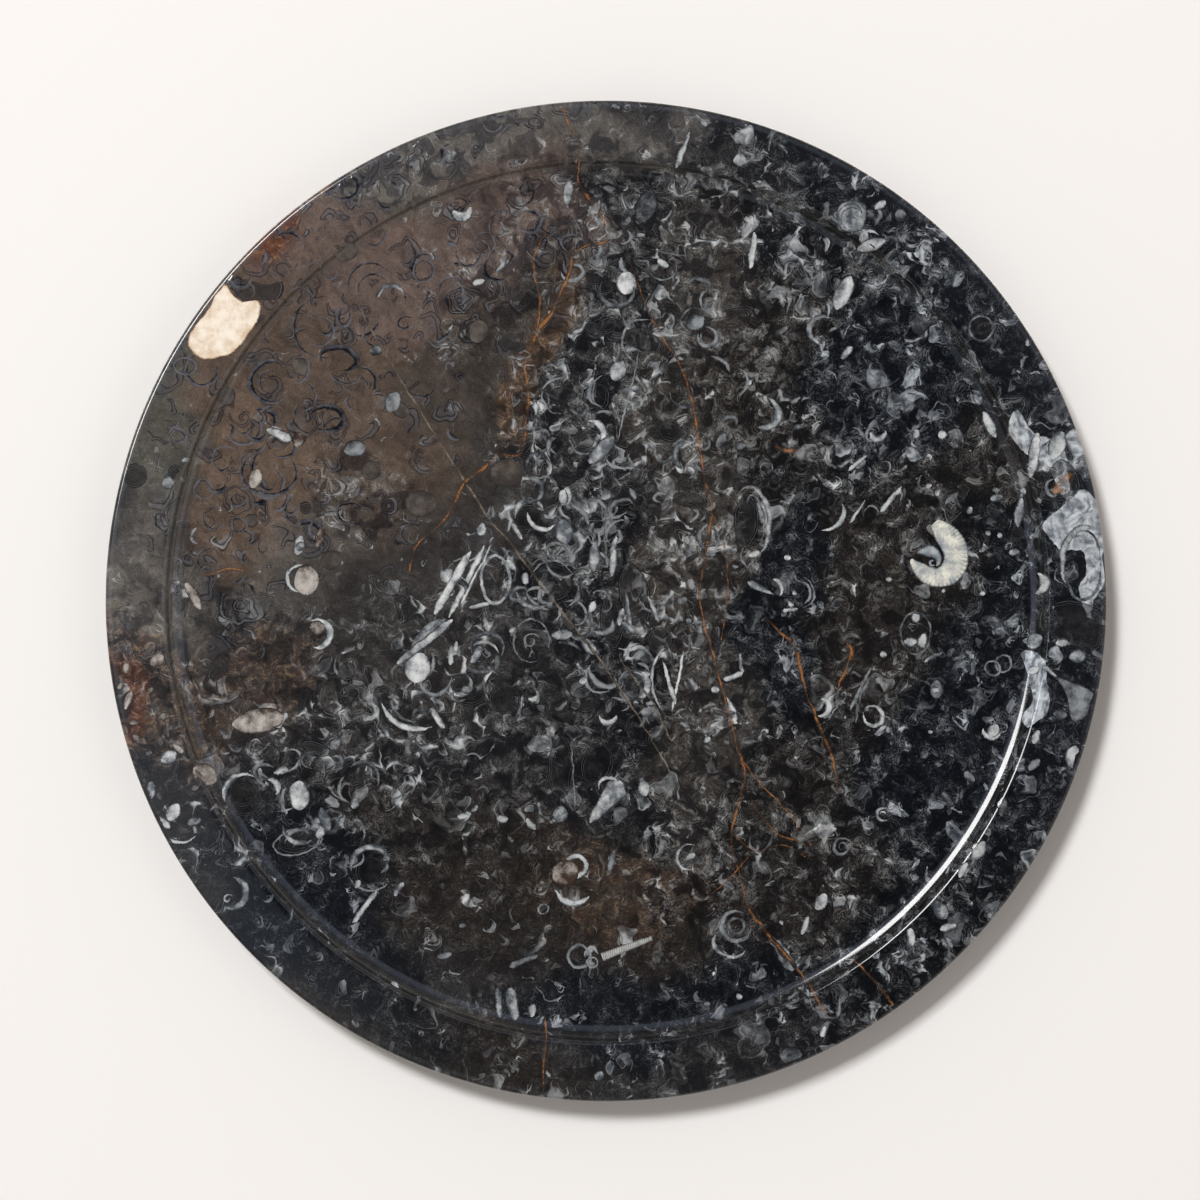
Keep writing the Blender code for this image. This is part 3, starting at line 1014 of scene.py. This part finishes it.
def section():
    """The plate's section, from the middle of the well round the edge to the middle of the base."""
    radius, top = PLATE_RADIUS, PLATE_THICKNESS
    wall = well_wall()
    floor_radius, floor_height = wall[-1]
    points = level(0.0, floor_radius, floor_height, FLOOR_RINGS) + wall[-2::-1]
    points += level(radius - LIP_INSET, radius - TOP_ARRIS, top, RIM_RINGS)[1:]
    points += arc((radius - TOP_ARRIS, top - TOP_ARRIS), TOP_ARRIS, 90.0, 0.0)[1:]
    points += [(radius, z) for z in np.linspace(top - TOP_ARRIS, UNDER_ARRIS, SIDE_RINGS + 1)[1:]]
    points += arc((radius - UNDER_ARRIS, UNDER_ARRIS), UNDER_ARRIS, 0.0, -90.0)[1:]
    points += level(0.0, radius - UNDER_ARRIS, 0.0, BASE_RINGS)[-2::-1]
    return points


def end_solid(w, result, shape, distance, material):
    """Close a solid's seams, make it real and give it its material, as the group's result."""
    closed = w.node("GeometryNodeMergeByDistance", {0: shape, "Distance": distance}).outputs[0]
    real = w.node("GeometryNodeRealizeInstances", {0: closed}).outputs[0]
    finished_shape = w.node("GeometryNodeSetMaterial", {0: real, "Material": material}).outputs[0]
    w.feed(result["Geometry"], finished_shape)


def turning_tree():
    """Geometry nodes that sweep a section round the axis and close it at the middle."""
    geometry = "NodeSocketGeometry"
    tree, w, given, result = new_group(
        "turn on the axis", "GeometryNodeTree",
        {"Section": geometry, "Steps": "NodeSocketInt", "Guide Radius": "NodeSocketFloat",
         "Stone": "NodeSocketMaterial"},
        {"Geometry": geometry},
    )
    inputs = {"Resolution": given["Steps"], "Radius": given["Guide Radius"]}
    guide = w.node("GeometryNodeCurvePrimitiveCircle", inputs).outputs[0]
    profile = w.node("GeometryNodeMeshToCurve", {0: given["Section"]}).outputs[0]
    swept = w.node("GeometryNodeCurveToMesh", {"Curve": guide, "Profile Curve": profile}).outputs[0]
    end_solid(w, result, swept, TURNED_MERGE, given["Stone"])
    return tree


def set_inputs(modifier, values):
    """Set a modifier's inputs by their sockets' identifiers."""
    for item in modifier.node_group.interface.items_tree:
        if item.in_out == "INPUT" and item.name in values:
            modifier[item.identifier] = values[item.name]


def linked(name, data):
    """A new object in the scene."""
    made = bpy.data.objects.new(name, data)
    bpy.context.scene.collection.objects.link(made)
    return made


def grown(name, mesh, tree, values):
    """The plain mesh that a geometry node tree makes from a starting mesh."""
    host = linked(name + "_start", mesh)
    modifier = host.modifiers.new(name, "NODES")
    modifier.node_group = tree
    set_inputs(modifier, values)
    depsgraph = bpy.context.evaluated_depsgraph_get()
    made = bpy.data.meshes.new_from_object(host.evaluated_get(depsgraph))
    made.name = name
    bpy.data.objects.remove(host, do_unlink=True)
    return made


def finished(mesh):
    """An object that holds the painted mesh and counts as part of the plate."""
    paint(mesh)
    mesh.shade_smooth()
    mesh.set_sharp_from_angle(angle=math.radians(SHARP_ANGLE))
    piece = linked(mesh.name, mesh)
    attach(piece, "root")
    return piece


def slab(rock):
    """The stone itself, turned from its section."""
    guide_radius = PLATE_RADIUS / 2.0
    outline = bpy.data.meshes.new("section")
    points = [(x - guide_radius, -z, 0.0) for x, z in section()]
    outline.from_pydata(points, [(i, i + 1) for i in range(len(points) - 1)], [])
    stone = polished("polished fossil limestone", lambda w: rock_colour(w, rock))
    values = {"Steps": TURNING_STEPS, "Guide Radius": guide_radius, "Stone": stone}
    return finished(grown("stone_slab", outline, turning_tree(), values))


# Paths of the fossils

def oval_path(x, y, length, width, turn):
    """The middle line of an oval, with half widths that follow a half circle."""
    count = max(7, int(length / PATH_STEP_PX) | 1)
    t = -np.cos(np.linspace(0.0, math.pi, count))
    reach = (length - 0.3 * width) / 2.0
    a = math.radians(turn)
    points = np.stack([x + t * reach * math.cos(a), y - t * reach * math.sin(a)], axis=1)
    return points, np.maximum(width / 2.0 * np.sqrt(1.0 - t * t), TIP_PX), False


def arc_path(x, y, radius, width, start, sweep, squash=1.0, turn=0.0):
    """A curved wall that tapers to both ends, a closed ring, or a coil that winds inwards."""
    count = max(9, int(abs(math.radians(sweep)) * radius / PATH_STEP_PX) + 1)
    closed = sweep == 360
    t = np.linspace(0.0, 1.0, count + closed)[:count]
    angle = np.radians(start + sweep * t)
    shrink = 1.0 - 0.85 * t if sweep > 360 else 1.0
    u, v = radius * shrink * np.cos(angle), radius * shrink * squash * np.sin(angle)
    c, s = math.cos(math.radians(turn)), math.sin(math.radians(turn))
    points = np.stack([x + u * c - v * s, y - u * s - v * c], axis=1)
    taper = np.ones(count) if closed else np.sin(math.pi * np.clip(t, 0.02, 0.98)) ** 0.6
    return points, np.maximum(width / 2.0 * taper * shrink ** 0.5, TIP_PX), closed


def bar_path(x0, y0, x1, y1, first, last):
    """A straight rod or sliver with blunt ends."""
    count = max(5, int(math.hypot(x1 - x0, y1 - y0) / PATH_STEP_PX))
    t = np.linspace(0.0, 1.0, count)
    points = np.stack([x0 + (x1 - x0) * t, y0 + (y1 - y0) * t], axis=1)
    blunt = np.minimum(1.0, 0.25 + 6.0 * np.minimum(t, 1.0 - t))
    return points, (first + (last - first) * t) / 2.0 * blunt, False


def smooth_curve(before, p, after, beyond, steps):
    """Catmull-Rom curves from each point to the next one, with the points in the order they are met."""
    points = []
    for t in np.linspace(0.0, 1.0, steps + 1)[:-1]:
        points.append(0.5 * (2 * p + (after - before) * t + (2 * before - 5 * p + 4 * after - beyond) * t ** 2
                             + (3 * p - before - 3 * after + beyond) * t ** 3))
    return np.stack(points, axis=1).reshape(-1, p.shape[1])


def smooth_outline(corners, steps=5):
    """A closed smooth curve through the corners."""
    p = np.array(corners, dtype=float)
    return smooth_curve(np.roll(p, 1, axis=0), p, np.roll(p, -1, axis=0), np.roll(p, -2, axis=0), steps)


def band_path(*corners):
    """A band along a smooth line through its points. Each has a place and a width."""
    p = np.array(corners, dtype=float)
    spacing = np.hypot(*(p[1:, :2] - p[:-1, :2]).T).mean()
    ends = np.concatenate([2 * p[:1] - p[1:2], p, 2 * p[-1:] - p[-2:-1]])
    steps = max(3, int(spacing / PATH_STEP_PX))
    line = np.concatenate([smooth_curve(ends[:-3], ends[1:-2], ends[2:-1], ends[3:], steps), p[-1:]])
    return line[:, :2], np.maximum(line[:, 2] / 2.0, TIP_PX), False


PATHS = {"ovals": oval_path, "arcs": arc_path, "bars": bar_path, "bands": band_path}


def scattered_arcs(name):
    """Arcs at random places in the zones of this tone, clear of the wall, and the same ones each time."""
    random = np.random.default_rng(len(name))
    rows = []
    for centre, reach, turn, count, radii, widths in SCATTERED.get(name, ()):
        c, s = math.cos(math.radians(turn)), math.sin(math.radians(turn))
        for _ in range(count):
            far, bearing = math.sqrt(random.uniform(0.0, 1.1)), random.uniform(0.0, math.tau)
            along, across = far * math.cos(bearing) * reach[0], far * math.sin(bearing) * reach[1]
            x, y = centre[0] + along * c - across * s, centre[1] - along * s - across * c
            radius = random.uniform(*radii)
            sweep = random.choice(SWEEPS)
            squash, lean = random.uniform(0.6, 1.0), random.uniform(0.0, 180.0)
            start = random.uniform(0.0, 360.0)
            width = min(random.uniform(*widths), radius * 0.6)
            far_out = math.hypot(x - PLATE_CENTRE_PX[0], y - PLATE_CENTRE_PX[1])
            if not WALL_SPAN_PX[0] - radius < far_out < WALL_SPAN_PX[1] + radius:
                rows.append((x, y, radius, width, start, sweep, squash, lean))
    return tuple(rows)


# Fossils set flush into the stone

def starting_mesh(name, shapes, seed):
    """Middle lines and outlined patches in plan, with each point's half width, shade and rank in height."""
    random = np.random.default_rng(seed)
    places, edges, faces = [], [], []
    values = {"half_width": [], "line": [], "share": [], "shade": [], "rank": []}

    def add(points, half_widths, line, share):
        first = len(places)
        xs, ys = from_photo(points[:, 0], points[:, 1])
        places.extend(zip(xs, ys, np.zeros(len(points))))
        shade, rank = random.uniform(0.0, 1.0, 2)
        for key, value in zip(values, (half_widths * PIXEL, line, share, shade, rank)):
            values[key].extend(np.broadcast_to(value, len(points)))
        return first

    for kind, path in PATHS.items():
        for row in shapes.get(kind, ()):
            points, half_widths, closed = path(*row)
            first = add(points, half_widths, 1.0, 0.0)
            edges += [(first + i, first + i + 1) for i in range(len(points) - 1)]
            if closed:
                edges.append((first + len(points) - 1, first))
    for corners in shapes.get("patches", ()):
        outline = smooth_outline(corners)
        middle = outline.mean(axis=0)
        n, rings = len(outline), len(PATCH_RINGS)
        points = [middle + (outline - middle) * share for share in PATCH_RINGS]
        points = np.concatenate([*points, middle[None]])
        reach = np.hypot(*(outline - middle).T).mean()
        first = add(points, reach, 0.0, np.repeat((*PATCH_RINGS, 0.0), (n,) * rings + (1,)))
        for ring in range(rings - 1):
            for i in range(n):
                a, b = first + ring * n + i, first + ring * n + (i + 1) % n
                faces.append((a, a + n, b + n, b))
        last = first + (rings - 1) * n
        faces += [(last + i, last + n, last + (i + 1) % n) for i in range(n)]
    mesh = bpy.data.meshes.new(name + "_lines")
    mesh.from_pydata(places, edges, faces)
    for key, value in values.items():
        layer = mesh.attributes.new(key, "FLOAT", "POINT")
        layer.data.foreach_set("value", np.array(value, dtype=np.float32))
    return mesh


def setting_tree():
    """Geometry nodes that sweep each middle line to its width and set the flat result into the stone."""
    geometry, number = "NodeSocketGeometry", "NodeSocketFloat"
    tree, w, given, result = new_group(
        "set into the stone", "GeometryNodeTree",
        {"Shapes": geometry, "Slab": "NodeSocketObject", "Proud": number, "Sunk": number, "Waver": number,
         "Reach": number, "Filling": "NodeSocketMaterial"},
        {"Geometry": geometry},
    )

    def named(name):
        return w.node("GeometryNodeInputNamedAttribute", {"Name": name}, data_type="FLOAT").outputs[0]

    def stored(shape, name, value):
        inputs = {"Geometry": shape, "Name": name, "Value": value}
        return w.node("GeometryNodeStoreNamedAttribute", inputs, data_type="FLOAT", domain="POINT").outputs[0]

    def moved_to(shape, position):
        return w.node("GeometryNodeSetPosition", {"Geometry": shape, "Position": position}).outputs[0]

    def together(*shapes):
        join = w.node("GeometryNodeJoinGeometry")
        for shape in shapes:
            w.feed(join.inputs[0], shape)
        return join.outputs[0]

    # Ribbons along the middle lines, and the patches, both flat
    place = w.node("GeometryNodeInputPosition").outputs[0]
    flat = w.parts(place)
    swept = named("line")
    lines = w.node("GeometryNodeMeshToCurve", {"Mesh": given["Shapes"], "Selection": swept}).outputs[0]
    lines = stored(lines, "run", w.node("GeometryNodeSplineParameter").outputs["Length"])
    lines = w.node("GeometryNodeSetCurveNormal", {"Curve": lines}, mode="Z_UP").outputs[0]
    inputs = {"Count": RIBBON_STRANDS, "Start Location": (-1.0, 0.0, 0.0),
              "Offset": (2.0 / (RIBBON_STRANDS - 1), 0.0, 0.0)}
    profile = w.node("GeometryNodeMeshLine", inputs).outputs[0]
    profile = stored(w.node("GeometryNodeMeshToCurve", {"Mesh": profile}).outputs[0], "across", flat[0])
    inputs = {"Curve": lines, "Profile Curve": profile, "Scale": named("half_width")}
    ribbons = w.node("GeometryNodeCurveToMesh", inputs).outputs[0]
    inputs = {"Geometry": given["Shapes"], "Selection": swept}
    patches = w.node("GeometryNodeDeleteGeometry", inputs, domain="POINT").outputs[0]
    patches = stored(patches, "across", named("share"))

    # A natural waver of the outline, kept inside the edge, then down onto the slab
    inputs = {"Vector": place, "Scale": 1.0 / WAVER_LUMP, "Detail": 3.0}
    moved = w.moved_by(place, w.node("ShaderNodeTexNoise", inputs).outputs[1], given["Waver"])
    inside = w.math("MINIMUM", 1.0, w.over(given["Reach"], w.vector("LENGTH", moved)))
    outlined = moved_to(together(patches, ribbons), w.vector("SCALE", moved, inside))
    above = w.joined(x=flat[0], y=flat[1], z=2.0 * PLATE_THICKNESS)
    slab_shape = w.node("GeometryNodeObjectInfo", {"Object": given["Slab"]}).outputs["Geometry"]
    inputs = {"Target Geometry": slab_shape, "Source Position": above, "Ray Length": 3.0 * PLATE_THICKNESS}
    landed = w.node("GeometryNodeRaycast", inputs).outputs["Hit Position"]
    under = moved_to(outlined, w.vector("SUBTRACT", landed, w.joined(z=given["Sunk"])))

    # A closed solid, from under the surface to a little proud of it
    rise = w.plus(given["Sunk"], w.times(given["Proud"], w.plus(1.0, named("rank"))))
    inputs = {"Mesh": under, "Offset": (0.0, 0.0, 1.0), "Offset Scale": rise, "Individual": False}
    upper = w.node("GeometryNodeExtrudeMesh", inputs, mode="FACES").outputs[0]
    solid = together(w.node("GeometryNodeFlipFaces", {"Mesh": under}).outputs[0], upper)
    end_solid(w, result, solid, INLAY_MERGE, given["Filling"])
    return tree


def ribbed(w, name, colour, side, cloud, seam):
    """Fine ribs across a shell, and the seams between its chambers."""
    spacing, lean, reach = RIBS[name]
    run = w.over(w.attribute("run"), MM)
    swing = w.times(w.plus(side, cloud), lean)
    groove = w.size_of(w.minus(w.math("FRACT", w.plus(w.over(run, spacing), swing)), 0.5))
    outward = w.step(side, reach - 1.0, reach - 2.0)
    colour = w.blend(w.times(w.step(groove, 0.22, 0.5), outward, 0.62), colour, seam)
    septum = w.plus(w.over(run, RIBS_PER_CHAMBER * spacing), w.times(cloud, 1.4))
    septum = w.size_of(w.minus(w.math("FRACT", septum), 0.5))
    return w.blend(w.times(w.step(septum, 0.455, 0.49), 0.4), colour, seam)


def filling_colour(w, name, rock):
    """A fossil's filling: pale in its middle, a dark seam, and an outline that breaks up into the rock."""
    deep, pale, seam = (shown(tone) for tone in FILLINGS[name])
    place = w.place_in_mm()
    cloud = w.noise(place, FILLING_LUMP, detail=4.0, roughness=0.6)
    fine = w.noise(place, GRIT_LUMP, roughness=0.7)
    side = w.attribute("across")
    across = w.size_of(side)
    half_width = w.over(w.attribute("half_width"), MM)
    shade = w.attribute("shade")

    # Paler or darker from fossil to fossil, towards one side, and in clouds
    lean = w.between(w.math("FRACT", w.times(shade, 7.0)), -0.3, 0.3)
    lift = w.plus(w.between(cloud, -0.35, 1.35), w.between(shade, -0.3, 0.2))
    lift = w.minus(lift, w.times(w.math("POWER", across, 2.5), 0.4))
    lift = w.plus(lift, w.times(side, SIDE_LIFT.get(name, lean)))
    lift = w.plus(lift, w.between(fine, -0.2, 0.2))
    colour = w.blend(w.step(lift, -0.1, 1.0), deep, pale)
    if name in RIBS:
        colour = ribbed(w, name, colour, side, cloud, seam)
    edge = w.times(w.minus(1.0, across), half_width)
    if name in ONION_SKINNED:
        colour = w.blend(0.4, colour, w.vector("SCALE", rock_colour(w, rock), 0.7))
        skin = w.step(w.math("SINE", w.times(w.plus(edge, cloud), 7.0)), 0.6, 1.0)
        colour = w.blend(w.times(skin, w.step(edge, 2.4, 0.4), 0.5), colour, tint("onion skin"))
    edge = w.plus(edge, w.times(w.minus(fine, 0.5), 0.7))
    dark = w.times(w.step(edge, 0.75, 0.25), w.step(half_width, 0.5, 1.6))
    colour = w.blend(w.times(dark, 0.75), colour, seam)
    return w.blend(w.step(edge, 0.30, 0.02), colour, rock_colour(w, rock))


def vein_colour(w, rock, deep, pale, broken):
    """The rock, stained along the middle of a vein, in a film that is more or less broken up."""
    place = w.place_in_mm()
    cloud = w.noise(place, STAIN_LUMP, detail=3.0, roughness=0.6)
    fine = w.noise(place, GRIT_LUMP, roughness=0.7)
    across = w.size_of(w.attribute("across"))
    core = w.minus(w.plus(cloud, w.times(fine, 0.5)), w.times(across, 0.5))
    stain = w.blend(w.step(core, 0.5, 0.85), shown(deep), shown(pale))
    ragged = w.minus(w.between(w.plus(fine, cloud), 1.0 - broken, 1.0 + 0.4 * broken), across)
    amount = w.times(w.step(ragged, 0.0, 0.8), w.between(w.step(cloud, 0.38, 0.62), 0.95 - broken, 0.95))
    amount = w.times(amount, w.between(w.step(fine, 0.36, 0.56), 1.0 - broken, 1.0))
    return w.blend(amount, rock_colour(w, rock), stain)


def inlaid(name, shapes, tree, slab_piece, layer, material, waver=WAVER):
    """A piece set into the slab. Higher layers stand a little prouder, so that they cover the lower ones."""
    values = {
        "Slab": slab_piece, "Proud": PROUD * (0.3 + 0.3 * layer), "Sunk": SUNK, "Waver": waver,
        "Reach": INLAY_REACH, "Filling": material,
    }
    return finished(grown(name, starting_mesh(name, shapes, seed=layer), tree, values))


def fossils(slab_piece, rock):
    """One piece for each tone of filling, and one for each kind of vein."""
    tree = setting_tree()
    for layer, (name, shapes) in enumerate(FOSSILS.items()):
        shapes = {**shapes, "arcs": (*shapes.get("arcs", ()), *scattered_arcs(name))}
        material = polished(name, lambda w: filling_colour(w, name, rock))
        inlaid(name, shapes, tree, slab_piece, layer, material, RIBBED_WAVER if name in RIBS else WAVER)
    for name, (lines, deep, pale, broken) in VEINS.items():
        material = polished(name, lambda w: vein_colour(w, rock, deep, pale, broken), VEIN_ROUGHNESS)
        inlaid(name, {"bands": lines}, tree, slab_piece, len(FOSSILS), material)


# The studio

def floor():
    """A matt white board under the plate."""
    mesh = bpy.data.meshes.new("floor")
    turns = np.linspace(0.0, math.tau, FLOOR_SIDES + 1)[:-1]
    corners = [(FLOOR_RADIUS * math.cos(t), FLOOR_RADIUS * math.sin(t), -FLOOR_DROP) for t in turns]
    mesh.from_pydata(corners, [], [tuple(range(len(corners)))])
    material, shader = new_material("matt white board")
    shader.inputs["Base Color"].default_value = FLOOR_COLOUR
    shader.inputs["Roughness"].default_value = FLOOR_ROUGHNESS
    shader.inputs["Specular IOR Level"].default_value = FLOOR_SHINE
    mesh.materials.append(material)
    board = linked("floor", mesh)


def camera():
    """Straight above, so high that its frame is as wide as the photo's at the height of the rim."""
    data = bpy.data.cameras.new("camera")
    data.lens = LENS_MM
    data.sensor_width = SENSOR_MM
    data.clip_end = VIEW_DEPTH
    eye = linked("camera", data)
    eye.location = (*CAMERA_OFFSET, PLATE_THICKNESS + FRAME_WIDTH_PX * PIXEL * LENS_MM / SENSOR_MM)
    bpy.context.scene.camera = eye


def towards(azimuth, elevation, distance):
    """A place at this bearing from the plate, in degrees."""
    a, e = math.radians(azimuth), math.radians(elevation)
    return Vector((math.cos(a) * math.cos(e), math.sin(a) * math.cos(e), math.sin(e))) * distance


def card(name, azimuth, elevation, distance, size, power, colour):
    """A flat soft light that faces the plate."""
    data = bpy.data.lights.new(name, "AREA")
    data.shape = "RECTANGLE"
    data.size, data.size_y = size
    data.energy = power
    data.color = colour
    light = linked(name, data)
    light.location = towards(azimuth, elevation, distance)
    light.rotation_euler = light.location.to_track_quat("Z", "Y").to_euler()
    return light


def surroundings():
    """The dim room: pale low down, darker overhead. The polish mirrors a darker left side and a pale veil."""
    world = bpy.data.worlds.new("room")
    bpy.context.scene.world = world
    world.use_nodes = True
    w = Wiring(world.node_tree)
    right, back, up = w.parts(w.node("ShaderNodeTexCoord").outputs["Generated"])
    low = w.blend(w.step(up, 0.02, 0.45), ROOM_LOW, ROOM_SIDES)
    room = w.blend(w.step(up, 0.70, 0.94), low, ROOM_TOP)
    veil = w.times(w.step(up, 0.78, 0.93), w.step(up, 0.993, 0.975), w.step(back, -0.12, 0.04))
    dusk = w.more(w.between(w.step(right, -0.3, 0.5), 0.4, 1.0), w.step(up, 0.72, 0.92))
    mirrored = w.blend(veil, w.vector("SCALE", room, dusk), VEIL)
    sky = w.blend(w.node("ShaderNodeLightPath").outputs["Is Glossy Ray"], room, mirrored)
    w.feed(world.node_tree.nodes["Background"].inputs["Color"], sky)


def studio():
    """The camera, board, room and lights. The key lights the stone. The gleam shows only in its polish."""
    bpy.context.scene.view_settings.view_transform = "Standard"
    camera()
    floor()
    surroundings()
    lights = {name: card(name, *settings) for name, settings in LIGHTS.items()}
    lights["key"].visible_glossy = False
    lights["gleam"].visible_diffuse = False


def main():
    studio()
    rock = limestone(shell_sections())
    stone = slab(rock)
    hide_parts("plate")
    fossils(stone, rock)


main()
